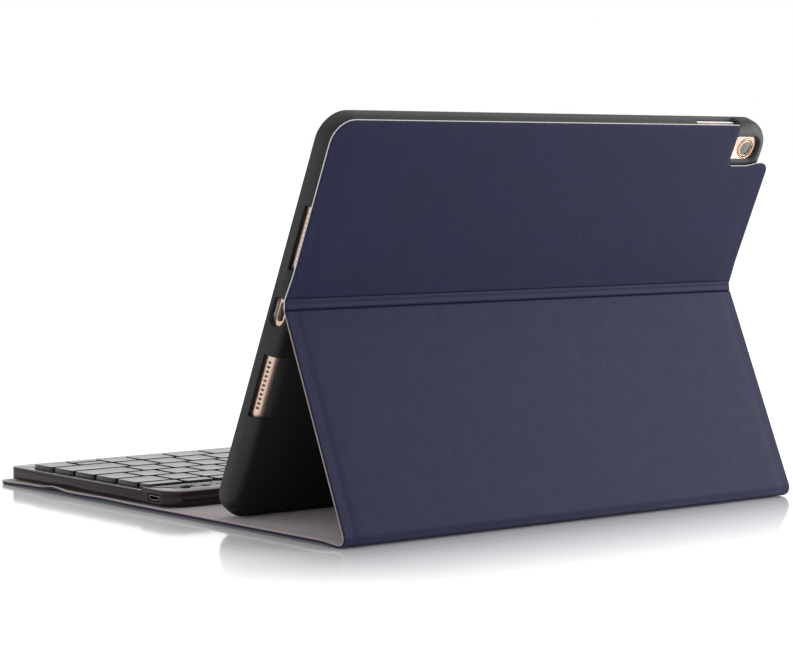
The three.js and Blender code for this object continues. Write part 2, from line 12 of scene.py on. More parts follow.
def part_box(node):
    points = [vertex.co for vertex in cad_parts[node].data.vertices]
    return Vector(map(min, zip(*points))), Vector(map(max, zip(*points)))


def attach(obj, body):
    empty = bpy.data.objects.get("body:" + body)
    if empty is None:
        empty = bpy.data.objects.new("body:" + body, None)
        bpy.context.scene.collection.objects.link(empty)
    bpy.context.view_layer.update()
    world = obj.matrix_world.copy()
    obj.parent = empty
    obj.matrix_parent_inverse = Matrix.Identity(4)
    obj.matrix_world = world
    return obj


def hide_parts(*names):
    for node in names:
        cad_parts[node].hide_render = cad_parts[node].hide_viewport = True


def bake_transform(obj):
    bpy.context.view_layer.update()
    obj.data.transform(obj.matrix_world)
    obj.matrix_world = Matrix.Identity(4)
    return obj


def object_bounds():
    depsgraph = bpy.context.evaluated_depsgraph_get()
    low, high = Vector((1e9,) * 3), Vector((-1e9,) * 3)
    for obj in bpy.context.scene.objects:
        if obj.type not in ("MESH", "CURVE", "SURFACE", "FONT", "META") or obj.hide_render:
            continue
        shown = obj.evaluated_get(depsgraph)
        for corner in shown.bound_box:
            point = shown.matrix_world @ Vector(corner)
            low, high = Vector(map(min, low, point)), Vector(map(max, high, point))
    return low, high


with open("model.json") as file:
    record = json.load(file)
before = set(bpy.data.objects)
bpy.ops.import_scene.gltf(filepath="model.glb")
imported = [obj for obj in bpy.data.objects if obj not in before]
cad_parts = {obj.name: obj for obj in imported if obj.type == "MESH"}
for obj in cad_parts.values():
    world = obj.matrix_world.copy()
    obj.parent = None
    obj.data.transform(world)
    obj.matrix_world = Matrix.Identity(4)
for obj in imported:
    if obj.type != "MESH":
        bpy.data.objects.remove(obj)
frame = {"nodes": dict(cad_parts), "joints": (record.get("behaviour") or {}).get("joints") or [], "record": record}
cad_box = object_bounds()
MM = 0.001
X = Vector((1, 0, 0))
joints = {j["name"]: j for j in frame["joints"]}

# ------------------------------------------------------- where things stand
# Millimetres, as in the CAD model; the folds and the base's front come from the frame.

LEAN = math.radians(23.3)
SHELL = dict(width=248, height=177.4, thick=9.6, corner=12, edge=6, back=1.8)
TABLET = dict(width=243.4, height=173, thick=6.1, corner=9, edge=3.5, low=2.2, front=1.4)
COVER = dict(width=253, crease=100, depth=11.96, half=2.0, top=177.7, sheet=2.04)
UP = Vector((0, math.sin(LEAN), math.cos(LEAN)))  # up the shell
BACK = Vector((0, math.cos(LEAN), -math.sin(LEAN)))  # out of the shell's back
CREASE = Vector(joints["mid_crease"]["pos_m"])
FOLD = Vector(joints["rear_fold"]["pos_m"])
FOLD_R = FOLD.z / MM
FOOT = CREASE - UP * COVER["crease"] * MM - BACK * COVER["depth"] * MM


def on_shell(x, v, w):
    """x to the user's right, v up the shell, w from its rim towards its back."""
    return FOOT + (X * x + UP * v + BACK * w) * MM


def upright(x, y, z):
    return Vector((x, y, z)) * MM


reach = (CREASE - FOLD) / MM
slope = math.atan2(reach.z, reach.y) + math.asin(FOLD_R / reach.length)
PANEL_UP = Vector((0, math.cos(slope), math.sin(slope)))  # up the lower panel
PANEL_OUT = Vector((0, math.sin(slope), -math.cos(slope)))
PANEL = math.sqrt(reach.length**2 - FOLD_R**2)  # fold to crease
BASE_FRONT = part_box("base_leather")[0].y / MM
BASE = FOLD.y / MM - BASE_FRONT
ARC = FOLD_R * slope  # leather round the rear fold


def cover_path(s):
    """Outer face and outward normal of the cover, s from the base's front edge."""
    if s <= BASE:
        return Vector((0, BASE_FRONT + s, 0)), Vector((0, 0, -1))
    if s <= BASE + ARC:
        t = (s - BASE) / FOLD_R - math.pi / 2
        out = Vector((0, math.cos(t), math.sin(t)))
        return FOLD / MM + out * FOLD_R, out
    return FOLD / MM + PANEL_OUT * FOLD_R + PANEL_UP * (s - BASE - ARC), PANEL_OUT


VALLEY_R = 3.0
valley = slope - (math.pi / 2 - LEAN)  # how far the crease turns
valley_in = VALLEY_R * math.tan(valley / 2)


def upper_path(s):
    """The same for the upper panel, s from the middle of the mid crease."""
    if s < -VALLEY_R * valley / 2:
        return CREASE / MM + PANEL_UP * (s + VALLEY_R * valley / 2 - valley_in), PANEL_OUT
    if s > VALLEY_R * valley / 2:
        return CREASE / MM + UP * (s - VALLEY_R * valley / 2 + valley_in), BACK
    t = slope - (s / VALLEY_R + valley / 2)
    out = Vector((0, math.sin(t), -math.cos(t)))
    centre = CREASE / MM - PANEL_UP * valley_in + PANEL_OUT * VALLEY_R
    return centre - out * VALLEY_R, out


def along(path):
    def place(x, s, h):
        point, out = path(s)
        return (point + X * x + out * h) * MM

    return place


# --------------------------------------------------------------- mesh tools


def new_object(name, verts, faces, smooth=40):
    mesh = bpy.data.meshes.new(name)
    mesh.from_pydata([tuple(v) for v in verts], [], faces)
    mesh.validate()
    obj = bpy.data.objects.new(name, mesh)
    bpy.context.scene.collection.objects.link(obj)
    return finish_mesh(obj, smooth)


def finish_mesh(obj, smooth=40):
    bm = bmesh.new()
    bm.from_mesh(obj.data)
    bmesh.ops.remove_doubles(bm, verts=bm.verts, dist=2e-6)
    bmesh.ops.recalc_face_normals(bm, faces=bm.faces)
    bm.to_mesh(obj.data)
    bm.free()
    obj.data.shade_smooth()
    obj.data.set_sharp_from_angle(angle=math.radians(smooth))
    return obj


def joined(name, parts, smooth=40):
    """One object from several, which are removed."""
    bm = bmesh.new()
    for part in parts:
        bm.from_mesh(part.data)
        bpy.data.objects.remove(part)
    mesh = bpy.data.meshes.new(name)
    bm.to_mesh(mesh)
    bm.free()
    obj = bpy.data.objects.new(name, mesh)
    bpy.context.scene.collection.objects.link(obj)
    return finish_mesh(obj, smooth)


def carve(obj, cutters, bevel=0.0, smooth=35):
    """Cuts the cutters away, then rounds the fresh edges."""
    for i, cutter in enumerate(cutters):
        mod = obj.modifiers.new(f"cut{i}", "BOOLEAN")
        mod.operation, mod.solver, mod.object = "DIFFERENCE", "EXACT", cutter
    if bevel:
        mod = obj.modifiers.new("round", "BEVEL")
        mod.width, mod.segments, mod.angle_limit = bevel * MM, 2, math.radians(50)
        mod.limit_method = "ANGLE"
    bpy.context.view_layer.update()
    done = obj.evaluated_get(bpy.context.evaluated_depsgraph_get())
    mesh = bpy.data.meshes.new_from_object(done)
    obj.modifiers.clear()
    obj.data = mesh
    for cutter in cutters:
        bpy.data.objects.remove(cutter)
    obj.data.shade_smooth()
    obj.data.set_sharp_from_angle(angle=math.radians(smooth))
    return obj


def outline(x0, y0, x1, y1, radii, steps=8):
    """Rounded rectangle; radii front-left, front-right, rear-right, rear-left."""
    a, b, c, d = radii if isinstance(radii, (tuple, list)) else (radii,) * 4
    points = []
    for cx, cy, r, start in (
        (x0 + a, y0 + a, a, 2),
        (x1 - b, y0 + b, b, 3),
        (x1 - c, y1 - c, c, 0),
        (x0 + d, y1 - d, d, 1),
    ):
        for i in range(steps + 1):
            t = (start + i / steps) * math.pi / 2
            points.append((cx + r * math.cos(t), cy + r * math.sin(t)))
    return points


def round_loop(x, y, r, n=40, r_y=None):
    """A circle, or an oval when r_y is given."""
    turns = [2 * math.pi * i / n for i in range(n)]
    return [(x + r * math.cos(t), y + (r_y or r) * math.sin(t)) for t in turns]


def arc(cx, cy, r, start, end, steps=8):
    """Points on a circle between two angles in degrees."""
    turns = [math.radians(start + (end - start) * i / steps) for i in range(steps + 1)]
    return [(cx + r * math.cos(t), cy + r * math.sin(t)) for t in turns]


def grown(loop, by):
    """The loop moved outwards by a small distance."""
    p = np.array(loop)
    before, after = p - np.roll(p, 1, 0), np.roll(p, -1, 0) - p
    before /= np.linalg.norm(before, axis=1)[:, None] + 1e-12
    after /= np.linalg.norm(after, axis=1)[:, None] + 1e-12
    n = np.stack([before[:, 1] + after[:, 1], -before[:, 0] - after[:, 0]], 1)
    n /= np.linalg.norm(n, axis=1)[:, None] + 1e-12
    k = np.maximum(0.3, n[:, 0] * after[:, 1] - n[:, 1] * after[:, 0])
    return p + n * (by / k)[:, None]


def band(a, b, n):
    """Faces between two rings of n points that start at vertices a and b."""
    return [(a + i, a + (i + 1) % n, b + (i + 1) % n, b + i) for i in range(n)]


def loft(name, rings, place, smooth=40):
    """Closed skin through (loop, height) rings of equal point count."""
    count, verts, faces = len(rings[0][0]), [], []
    for loop, z in rings:
        verts += [place(x, y, z) for x, y in loop]
    for k in range(len(rings) - 1):
        faces += band(k * count, (k + 1) * count, count)
    faces.append(tuple(range(count))[::-1])
    faces.append(tuple(range((len(rings) - 1) * count, len(rings) * count)))
    return new_object(name, verts, faces, smooth)


def rounded(loop, z0, z1, low=0.0, high=0.0, steps=4):
    """Rings of a block with its lower and upper edges rounded."""
    rings = []
    for i in range(steps + 1 if low else 1):
        t = i / steps * math.pi / 2
        rings.append((grown(loop, -low * (1 - math.sin(t))), z0 + low * (1 - math.cos(t))))
    for i in range(steps + 1 if high else 1):
        t = i / steps * math.pi / 2
        rings.append((grown(loop, -high * (1 - math.cos(t))), z1 - high * (1 - math.sin(t))))
    return rings


def block(name, loop, z0, z1, low=0.0, high=0.0, place=upright, steps=4):
    return loft(name, rounded(loop, z0, z1, low, high, steps), place)


def inside(points, loop):
    x, y = points[:, 0], points[:, 1]
    hit = np.zeros(len(points), bool)
    for (x0, y0), (x1, y1) in zip(loop, np.roll(loop, -1, 0)):
        cross = (y0 > y) != (y1 > y)
        with np.errstate(divide="ignore", invalid="ignore"):
            hit ^= cross & (x < (x1 - x0) * (y - y0) / (y1 - y0) + x0)
    return hit


def boxed(points, loop, margin=0):
    """Which points lie in the loop's bounding box; the slower tests need only those."""
    low_end, high_end = loop.min(0) - margin, loop.max(0) + margin
    return np.all((points > low_end) & (points < high_end), axis=1)


def gap_to(points, loop):
    """Distance of each point to the loop's edge."""
    best = np.full(len(points), 1e9)
    for a, b in zip(np.array(loop), np.roll(loop, -1, 0)):
        d = b - a
        t = np.clip(((points - a) @ d) / max(d @ d, 1e-12), 0, 1)
        best = np.minimum(best, np.linalg.norm(points - (a + t[:, None] * d), axis=1))
    return best


SHORT_EDGE = 0.5  # shorter edges aren't divided at the grid's lines
CORNER_CLEAR = 0.1  # room between such a division and the edge's own ends
RIM_STEPS = 3  # steps round a sheet's rim
RIM_CLEAR = 1.6  # grid points keep this many rim radii from every edge


def resampled(loop, step, xs=(), ys=()):
    """The loop with its long edges divided: at the grid's lines where an edge runs
    along the grid, and else into even parts."""
    out = []
    for a, b in zip(np.array(loop), np.roll(loop, -1, 0)):
        for k, lines in ((0, xs), (1, ys)):
            first, last = min(a[k], b[k]), max(a[k], b[k])
            straight = abs(a[1 - k] - b[1 - k]) < 1e-6
            if len(lines) and straight and last - first > SHORT_EDGE:
                cuts = sorted(v for v in lines if first + CORNER_CLEAR < v < last - CORNER_CLEAR)
                if a[k] > b[k]:
                    cuts = cuts[::-1]
                out += [a] + [a + (b - a) * (v - a[k]) / (b[k] - a[k]) for v in cuts]
                break
        else:
            n = max(1, math.ceil(np.linalg.norm(b - a) / step))
            out += [a + (b - a) * i / n for i in range(n)]
    return np.array(out)


def grid_within(loops, xs, ys, clear):
    """Grid points inside the first loop and outside the others, clear of every edge."""
    grid = np.array([(x, y) for x in xs for y in ys])
    grid = grid[inside(grid, loops[0]) & (gap_to(grid, loops[0]) > clear)]
    for hole in loops[1:]:
        near = boxed(grid, hole, 1)
        keep = ~near
        keep[near] = ~inside(grid[near], hole) & (gap_to(grid[near], hole) > clear)
        grid = grid[keep]
    return grid


def triangles(loops, grid, rim):
    """Triangles between the loops drawn in by the rim, as lists of point numbers:
    first the loops' points in order, then the grid's."""
    points, edges = [], []
    for loop in loops:
        base, n = len(points), len(loop)
        points += list(grown(loop, -rim))
        edges += [(base + i, base + (i + 1) % n) for i in range(n)]
    outer = points[: len(loops[0])]
    flat = [Vector(p) for p in np.vstack([points, grid])]
    out = delaunay_2d_cdt(flat, edges, [], 0, 1e-7)
    points, tris, source = np.array(out[0]), out[2], out[3]
    mid = np.array([points[list(f)].mean(0) for f in tris])
    good = inside(mid, outer)
    for hole in loops[1:]:
        near = boxed(mid, hole)
        good[near] &= ~inside(mid[near], grown(hole, -rim * 0.5))
    return [
        [source[i][0] for i in f] for f, ok in zip(tris, good) if ok and all(source[i] for i in f)
    ]


def slab(name, loop, top, bottom, place, xs, ys, holes=(), rim=0.2, step=5, smooth=40):
    """A sheet with rounded rims: top and bottom are heights as functions of x, y and
    of the distance to the edge."""
    loops = [resampled(loop, step, xs, ys)] + [resampled(h, step)[::-1] for h in holes]
    grid = grid_within(loops, xs, ys, rim * RIM_CLEAR)
    verts, faces, caps = [], [], []
    turns = [i / RIM_STEPS * math.pi / 2 for i in range(RIM_STEPS + 1)]
    per_loop = len(turns)
    for side, height in ((1, top), (-1, bottom)):
        starts, ids = [], []
        for points in loops:
            for t in turns:
                ring = grown(points, -rim * (1 - math.cos(t)))
                h = height(ring[:, 0], ring[:, 1], gap_to(ring, loops[0]))
                starts.append((len(verts), len(points)))
                drop = side * rim * (1 - math.sin(t))
                verts += [place(x, y, z - drop) for (x, y), z in zip(ring, h)]
            start, n = starts[-1]
            ids += list(range(start, start + n))
        caps.append(starts)
        h = height(grid[:, 0], grid[:, 1], gap_to(grid, loops[0]))
        ids += list(range(len(verts), len(verts) + len(grid)))
        verts += [place(x, y, z) for (x, y), z in zip(grid, h)]
        for f in triangles(loops, grid, rim):
            face = [ids[i] for i in f]
            faces.append(face if side > 0 else face[::-1])
    for k in range(len(loops)):
        for starts in caps:
            for j in range(per_loop - 1):
                start, n = starts[k * per_loop + j]
                faces += band(start, starts[k * per_loop + j + 1][0], n)
        start, n = caps[1][k * per_loop]
        faces += band(start, caps[0][k * per_loop][0], n)
    return new_object(name, verts, faces, smooth)


def smoothstep(a, b, v):
    t = np.clip((v - a) / (b - a), 0, 1)
    return t * t * (3 - 2 * t)


def ladder(lo, hi, step, fine=(), spread=1.5, fine_step=0.25):
    """Numbers from lo to hi, closer together round the fine ones."""
    values = list(np.arange(lo, hi + 1e-6, step))
    for f in fine:
        values += list(np.arange(f - spread, f + spread + 1e-6, fine_step))
    values = sorted(v for v in values if lo <= v <= hi)
    kept = [values[0]]
    for v in values[1:]:
        if v - kept[-1] > fine_step * 0.8:
            kept.append(v)
    return kept


# --------------------------------------------------------------- materials


def rgb(r, g, b):
    """Linear colour from display values of 0 to 255."""
    return tuple(
        (c / 255 / 12.92 if c <= 10 else ((c / 255 + 0.055) / 1.055) ** 2.4)
        for c in (r, g, b)
    ) + (1,)


PATCH_SCALE, WEAR_SCALE = 45, 160  # patches of tint and of roughness, per metre
BUMP_STRENGTH = 0.6
ALONG_BRUSHING = (0.03, 1, 1)  # stretches the noise into brush marks


def material(name, colour, rough, metal=0.0, grain=(), tint=None, vary=0.06, **shader):
    """A procedural finish. grain lists (size in mm, depth in mm, pattern) layers; tint
    is a second colour that shows in soft patches."""
    mat = bpy.data.materials.new(name)
    mat.use_nodes = True
    tree = mat.node_tree
    nodes, link = tree.nodes, tree.links.new
    bsdf = nodes["Principled BSDF"]
    bsdf.inputs["Metallic"].default_value = metal
    for key, value in shader.items():
        bsdf.inputs[key.replace("_", " ")].default_value = value
    coord = nodes.new("ShaderNodeTexCoord").outputs["Object"]

    def texture(kind, vector, **values):
        node = nodes.new("ShaderNodeTex" + kind)
        for key, value in values.items():
            node.inputs[key].default_value = value
        link(vector, node.inputs["Vector"])
        return node

    patches = texture("Noise", coord, Scale=PATCH_SCALE, Detail=6)
    mix = nodes.new("ShaderNodeMix")
    mix.data_type = "RGBA"
    mix.inputs["A"].default_value = colour
    mix.inputs["B"].default_value = tint or tuple(c * (1 - vary * 2) for c in colour[:3]) + (1,)
    link(patches.outputs["Fac"], mix.inputs["Factor"])
    link(mix.outputs["Result"], bsdf.inputs["Base Color"])

    wear = texture("Noise", coord, Scale=WEAR_SCALE, Detail=8)
    roughness = nodes.new("ShaderNodeMapRange")
    roughness.inputs["To Min"].default_value = max(0.02, rough - vary)
    roughness.inputs["To Max"].default_value = rough + vary
    link(wear.outputs["Fac"], roughness.inputs["Value"])
    link(roughness.outputs["Result"], bsdf.inputs["Roughness"])

    previous = None
    for size, depth, pattern in grain:
        vector, scale = coord, 1 / (size * MM)
        if pattern == "brushed":
            stretch = nodes.new("ShaderNodeMapping")
            stretch.inputs["Scale"].default_value = ALONG_BRUSHING
            link(coord, stretch.inputs["Vector"])
            vector = stretch.outputs["Vector"]
        if pattern == "cells":
            cells = texture("Voronoi", vector, Scale=scale)
            cells.feature = "SMOOTH_F1"
            cells.inputs["Smoothness"].default_value = 0.6
            value = cells.outputs["Distance"]
        else:
            value = texture("Noise", vector, Scale=scale, Detail=3).outputs["Fac"]
        bump = nodes.new("ShaderNodeBump")
        bump.inputs["Distance"].default_value = depth * MM
        bump.inputs["Strength"].default_value = BUMP_STRENGTH
        link(value, bump.inputs["Height"])
        if previous:
            link(previous, bump.inputs["Normal"])
        previous = bump.outputs["Normal"]
    if previous:
        link(previous, bsdf.inputs["Normal"])
    return mat


LEATHER = material(
    "navy_leather", rgb(22, 24, 46), 0.5, tint=rgb(27, 28, 53),
    grain=((0.9, 0.10, "cells"), (0.35, 0.05, "noise"), (12, 0.04, "noise")),
    Specular_IOR_Level=0.09,
)
LINING = material(
    "microfibre", rgb(141, 128, 129), 0.92, tint=rgb(121, 107, 109),
    grain=((0.25, 0.08, "noise"), (1.6, 0.10, "noise")), Sheen_Weight=0.35, Sheen_Roughness=0.5,
)
EDGE = material("cut_edge", rgb(190, 186, 188), 0.7, grain=((0.3, 0.05, "noise"),))
RUBBER = material(
    "elastomer", rgb(20, 20, 20), 0.50, tint=rgb(25, 25, 25),
    grain=((0.22, 0.035, "noise"), (5, 0.05, "noise")), Specular_IOR_Level=0.32,
)
GOLD = material(
    "gold_aluminium", rgb(212, 184, 168), 0.36, 0.9, grain=((0.12, 0.01, "noise"),), vary=0.03,
)
POLISHED = material("polished_rim", rgb(226, 194, 164), 0.14, 1.0, vary=0.02)
LENS = material("camera_glass", rgb(38, 36, 40), 0.05, vary=0.01, Coat_Weight=1.0)
BEZEL = material("white_bezel", rgb(240, 240, 238), 0.09, vary=0.02, Coat_Weight=0.6)
SCREEN = material("dark_screen", rgb(10, 11, 13), 0.05, vary=0.01, Specular_IOR_Level=0.3)
KEYS = material(
    "key_plastic", rgb(22, 20, 21), 0.13, tint=rgb(28, 25, 26), vary=0.03,
    grain=((0.6, 0.001, "noise"),), Specular_IOR_Level=0.38,
)
DECK = material(
    "deck_plastic", rgb(26, 21, 22), 0.12, tint=rgb(33, 27, 28), vary=0.03,
    grain=((0.3, 0.002, "noise"), (6, 0.008, "noise")), Specular_IOR_Level=0.45,
)
GLOSS = material(
    "glossy_plastic", rgb(34, 21, 25), 0.14, grain=((7, 0.02, "noise"),),
    Specular_IOR_Level=0.2,
)
# dark colour of the camera's groove, and also painted shade for the plugs in the port and loudspeaker holes
DARK = material("dark_groove_and_painted_recess_shade", rgb(16, 15, 16), 0.8, grain=((0.4, 0.05, "noise"),))
STEEL = material("steel", rgb(190, 190, 194), 0.28, 1.0, grain=((0.5, 0.01, "brushed"),))
DIM_STEEL = material("dull_steel", rgb(128, 124, 126), 0.35, 1.0, vary=0.04)
LAMP = material("clear_plastic", rgb(206, 210, 214), 0.15, vary=0.02)
BOARD = material("grey_board", rgb(140, 132, 118), 0.9, grain=((0.4, 0.06, "noise"),))
FILM = material("contact_film", rgb(66, 80, 84), 0.4, grain=((0.6, 0.02, "noise"),))
CELL = material("foil_pouch", rgb(168, 172, 178), 0.35, 0.6, grain=((3, 0.1, "noise"),))
CIRCUIT = material("solder_resist", rgb(26, 92, 58), 0.5, grain=((1.2, 0.05, "cells"),))

SLOT_LOOKS = {
    "cover_leather": LEATHER, "cover_lining": LINING, "cover_board": BOARD,
    "glue_sheet": EDGE, "shell_rubber": RUBBER, "tablet_metal": GOLD,
    "tablet_glass": SCREEN, "steel": STEEL, "keyboard_plastic": GLOSS,
    "key_plastic": KEYS, "switch_plastic": DECK, "indicator_plastic": LAMP,
    "contact_film": FILM, "battery_pouch": CELL, "circuit_board": CIRCUIT,
}
for row in frame["record"]["subparts"]:
    node = frame["nodes"][row["node"]]
    node.data.materials.clear()
    node.data.materials.append(SLOT_LOOKS[row["material_slot"]])


def piece(obj, look, body=None, replaces=()):
    """Gives a finished piece its material and body, and hides the nodes it stands for."""
    obj.data.materials.clear()
    obj.data.materials.append(look)
    if replaces:
        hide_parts(*replaces)
    if body:
        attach(obj, body)
    return obj


# -------------------------------------------------------------- the cover

half = COVER["width"] / 2
CREASE_LINES = (-COVER["half"], COVER["half"])
LOWER_END = BASE + ARC + PANEL - COVER["half"]
BOARD_EDGE = (4.6, 7.4)  # the board inside ends between these distances from the rim
EDGE_STEP = 0.24  # the sheet is thinner where the board ends
LEATHER_THICK = 0.74
LINING_TOP, LINING_CLOSES = 1.5, 0.72  # depth over the board, and rise at the rim
LINING_FACE_RISE, LINING_FACE_STEP = 0.6, 0.55  # how far the inner face follows the rim


def rim_share(edge):
    """1 on the rim beside the board, 0 over the board, by the distance to the edge."""
    return 1 - smoothstep(*BOARD_EDGE, edge)


def thin(edge):
    """How much thinner the sheet is, by the distance to its edge."""
    return EDGE_STEP * rim_share(edge)


def pressed(s, at, depth=0.62, width=0.5):
    return sum(depth * np.exp(-(((s - a) / width) ** 2)) for a in at)


def ripple(x, s, amount=0.035):
    """Slow unevenness of the leather."""
    return np.array(
        [amount * noise.noise(Vector((a * 0.021, b * 0.03, 0.7))) for a, b in zip(x, s)]
    )


def lift(x, s):
    """The base's right edge has sprung up a little beside the keyboard."""
    out = smoothstep(half - 5.5, half, x) * (1 - smoothstep(BASE - 12, BASE, s))
    wave = 1.1 * np.exp(-(((s - 45) / 7) ** 2)) + 0.3 * np.exp(-(((s - 84) / 12) ** 2))
    return -out * (0.8 * smoothstep(0, 30, s) + wave)


def to_free_edge(x, s):
    """Distance to the lower cover's free edges; its crease end isn't one."""
    return np.minimum(np.minimum(x + half, half - x), s)


cover_loop = outline(-half, 0, half, LOWER_END, (5, 5, 0.05, 0.05))
fold_fine = list(np.arange(BASE - 3, BASE + ARC + 3, 0.5))
xs = ladder(-half, half, 5, (half - 3, -half + 3), 3.5, 0.7)
seam_fine = list(np.arange(LOWER_END - 2.1, LOWER_END - 0.3, 0.2))
cover_s = ladder(0, LOWER_END - 2.3, 4, (3, LOWER_END - 5), 4, 0.6)
cover_s = sorted(cover_s + fold_fine + seam_fine)


def cover_face(depth):
    """Height of the leather's surface that lies this deep under its outer face."""

    def height(x, s, edge):
        on_table = 1 - smoothstep(BASE - 2, BASE + 2, s)
        calm = smoothstep(0, 8, np.abs(s - BASE - ARC / 2)) * smoothstep(1, 14, LOWER_END - s)
        wave = ripple(x, s) * (1 - on_table) * calm
        sink = thin(to_free_edge(x, s))
        if depth == 0:
            sink = sink * (1 - on_table)  # the base's outer face stays flat on the table
        return -depth - sink + wave + lift(x, s) - pressed(s, (LOWER_END,))

    return height


cover_leather = slab(
    "cover_leather_lower", cover_loop, cover_face(0), cover_face(LEATHER_THICK),
    along(cover_path), xs, cover_s, rim=0.28, step=4,
)
lining_loop = outline(-half - 0.12, -0.12, half + 0.12, LOWER_END, (5, 5, 0.05, 0.05))


def lining_top(x, s, edge):
    d = to_free_edge(x, s)
    return -LINING_TOP + LINING_CLOSES * rim_share(d) - thin(d) + lift(x, s)


def lining_bottom(x, s, edge):
    d = to_free_edge(x, s)
    rise = LINING_FACE_RISE * rim_share(d)
    return -COVER["sheet"] + rise - thin(d) * LINING_FACE_STEP + lift(x, s)


cover_lining = slab(
    "cover_lining_lower", lining_loop, lining_top, lining_bottom,
    along(cover_path), xs, cover_s, rim=0.12, step=4,
)
piece(
    cover_leather, LEATHER,
    replaces=("base_leather", "rear_fold_strip", "lower_leather"),
)
piece(cover_lining, LINING, replaces=("base_lining", "lower_lining"))
for obj in (cover_leather, cover_lining):
    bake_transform(obj)

# The upper panel, with its corner cut away round the camera.
CAMERA_HOLE = dict(x=-109, v=166, width=17, height=10.8, corner=4.5)
NOTCH = (-99.7, 158.4)
UPPER_TRIM = 1.2  # the upper panel is cut a little narrower than the others
TRIM_ENDS = 12  # the trim is complete this far above the crease
NOTCH_RISE, RISE_RUN = 1.5, 15  # the notch's lower edge rises towards the outer corner
TOP_CORNER, LIP_CORNER, NOTCH_CORNER, OUTER_CORNER = 10, 1, 3.5, 4
UPPER_TOP = COVER["top"] - COVER["crease"] + VALLEY_R * valley / 2 - valley_in


def upper_loop(grow=0.0):
    left, right, high = -half + UPPER_TRIM - grow, half - UPPER_TRIM + grow, UPPER_TOP + grow
    notch_x, notch_y = NOTCH[0] - grow, NOTCH[1] - COVER["crease"] + grow
    run = RISE_RUN - OUTER_CORNER
    rise = [
        (left + RISE_RUN - run * t, notch_y + NOTCH_RISE * t * t * (3 - 2 * t))
        for t in (i / 8 for i in range(1, 8))
    ]
    outer_y = notch_y - OUTER_CORNER + NOTCH_RISE
    return [
        (-half - grow, -COVER["half"]),
        (half + grow, -COVER["half"]),
        (right, TRIM_ENDS),
        *arc(right - TOP_CORNER, high - TOP_CORNER, TOP_CORNER, 0, 90),
        *arc(notch_x + LIP_CORNER, high - LIP_CORNER, LIP_CORNER, 90, 180),
        *arc(notch_x - NOTCH_CORNER, notch_y + NOTCH_CORNER, NOTCH_CORNER, 0, -90),
        *rise,
        *arc(left + OUTER_CORNER, outer_y, OUTER_CORNER, 90, 180),
        (left, TRIM_ENDS),
    ]


panel_loop = np.array(upper_loop())


def free_edge(x, s):
    """Distance to the upper panel's own edges, not counting the crease end."""
    points = np.stack([x, s], 1)
    tall = panel_loop.copy()
    tall[:2, 1] = -60  # takes the crease end out of reach
    return gap_to(points, tall)


LEATHER_THIN, CORE_THIN = 0.7, 0.5  # how far each face follows the thinner rim
CORE_TOP, CORE_RIM, CORE_BODY = 0.78, 1.3, 0.84  # top's depth, rim's depth, board's height


def upper_top(x, s, edge):
    wave = ripple(x, s) * smoothstep(3, 14, s)
    return -thin(free_edge(x, s)) * LEATHER_THIN - pressed(s, CREASE_LINES) + wave


def upper_bottom(x, s, edge):
    return -LEATHER_THICK - thin(free_edge(x, s)) * LEATHER_THIN


def core_top(x, s, edge):
    return -CORE_TOP - thin(free_edge(x, s)) * LEATHER_THIN


def core_bottom(x, s, edge):
    flat = smoothstep(3.5, 8, free_edge(x, s)) * smoothstep(3, 8, s)
    return -CORE_RIM - thin(free_edge(x, s)) * CORE_THIN - CORE_BODY * flat


upper_s = ladder(-COVER["half"], UPPER_TOP, 4, CREASE_LINES + (0,), 1.6, 0.2)
upper_leather = slab(
    "cover_leather_upper", panel_loop, upper_top, upper_bottom, along(upper_path), xs, upper_s,
    rim=0.28, step=4,
)
upper_core = slab(
    "cover_core_upper", upper_loop(0.12), core_top, core_bottom, along(upper_path), xs, upper_s,
    rim=0.12, step=4,
)
piece(upper_leather, LEATHER, replaces=("mid_crease_strip", "upper_leather"))
piece(upper_core, EDGE, replaces=("upper_board", "upper_adhesive"))
for obj in (upper_leather, upper_core):
    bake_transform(obj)

# ------------------------------------------------------------ bumper shell


def stadium(y0, y1, z0, z1, r=None, steps=6):
    r = min(y1 - y0, z1 - z0) / 2 * 0.98 if r is None else r
    return outline(y0, z0, y1, z1, r, steps)


FLARE_LENGTH = 2.6


def side_place(v, w, x):
    """For loops drawn in v and w and drawn out along x."""
    return on_shell(x, v, w)


def top_place(x, w, v):
    return on_shell(x, v, w)


def through_x(name, loop, x0, x1, flare=0.0):
    """A cutter along X through a side wall, wider at x1 by the flare."""
    if not flare:
        return loft(name, [(loop, x0), (loop, x1)], side_place)
    mid = x1 - FLARE_LENGTH if x1 > x0 else x1 + FLARE_LENGTH
    return loft(name, [(loop, x0), (loop, mid), (grown(loop, flare), x1)], side_place)


def centred(width, height, corner, inset=0.0, steps=12):
    w, h = width / 2 - inset, height / 2 - inset
    return outline(-w, -h, w, h, max(0.3, corner - inset), steps)


mid_v = SHELL["height"] / 2
BACK_STEPS, RIM_ROUND = 12, 0.5


def shell_place(x, y, z):
    return on_shell(x, y + mid_v, z)


def shell_ring(inset):
    return centred(SHELL["width"], SHELL["height"], SHELL["corner"], inset)


def pocket_ring():
    return centred(TABLET["width"] + 0.6, TABLET["height"] + 0.6, TABLET["corner"])


rings = [
    (shell_ring(RIM_ROUND * (1 - math.sin(t))), RIM_ROUND * (1 - math.cos(t)))
    for t in (i / 4 * math.pi / 2 for i in range(5))
]
for i in range(BACK_STEPS + 1):
    t = i / BACK_STEPS * math.pi / 2
    rings.append(
        (shell_ring(SHELL["edge"] * (1 - math.cos(t))),
         SHELL["thick"] - SHELL["edge"] + SHELL["edge"] * math.sin(t))
    )
shell = loft("bumper_shell_moulding", rings, shell_place)
pocket_back = SHELL["thick"] - SHELL["back"]
side = SHELL["width"] / 2
SPEAKERS = ((47.5, 75.0), (112.0, 139.5))
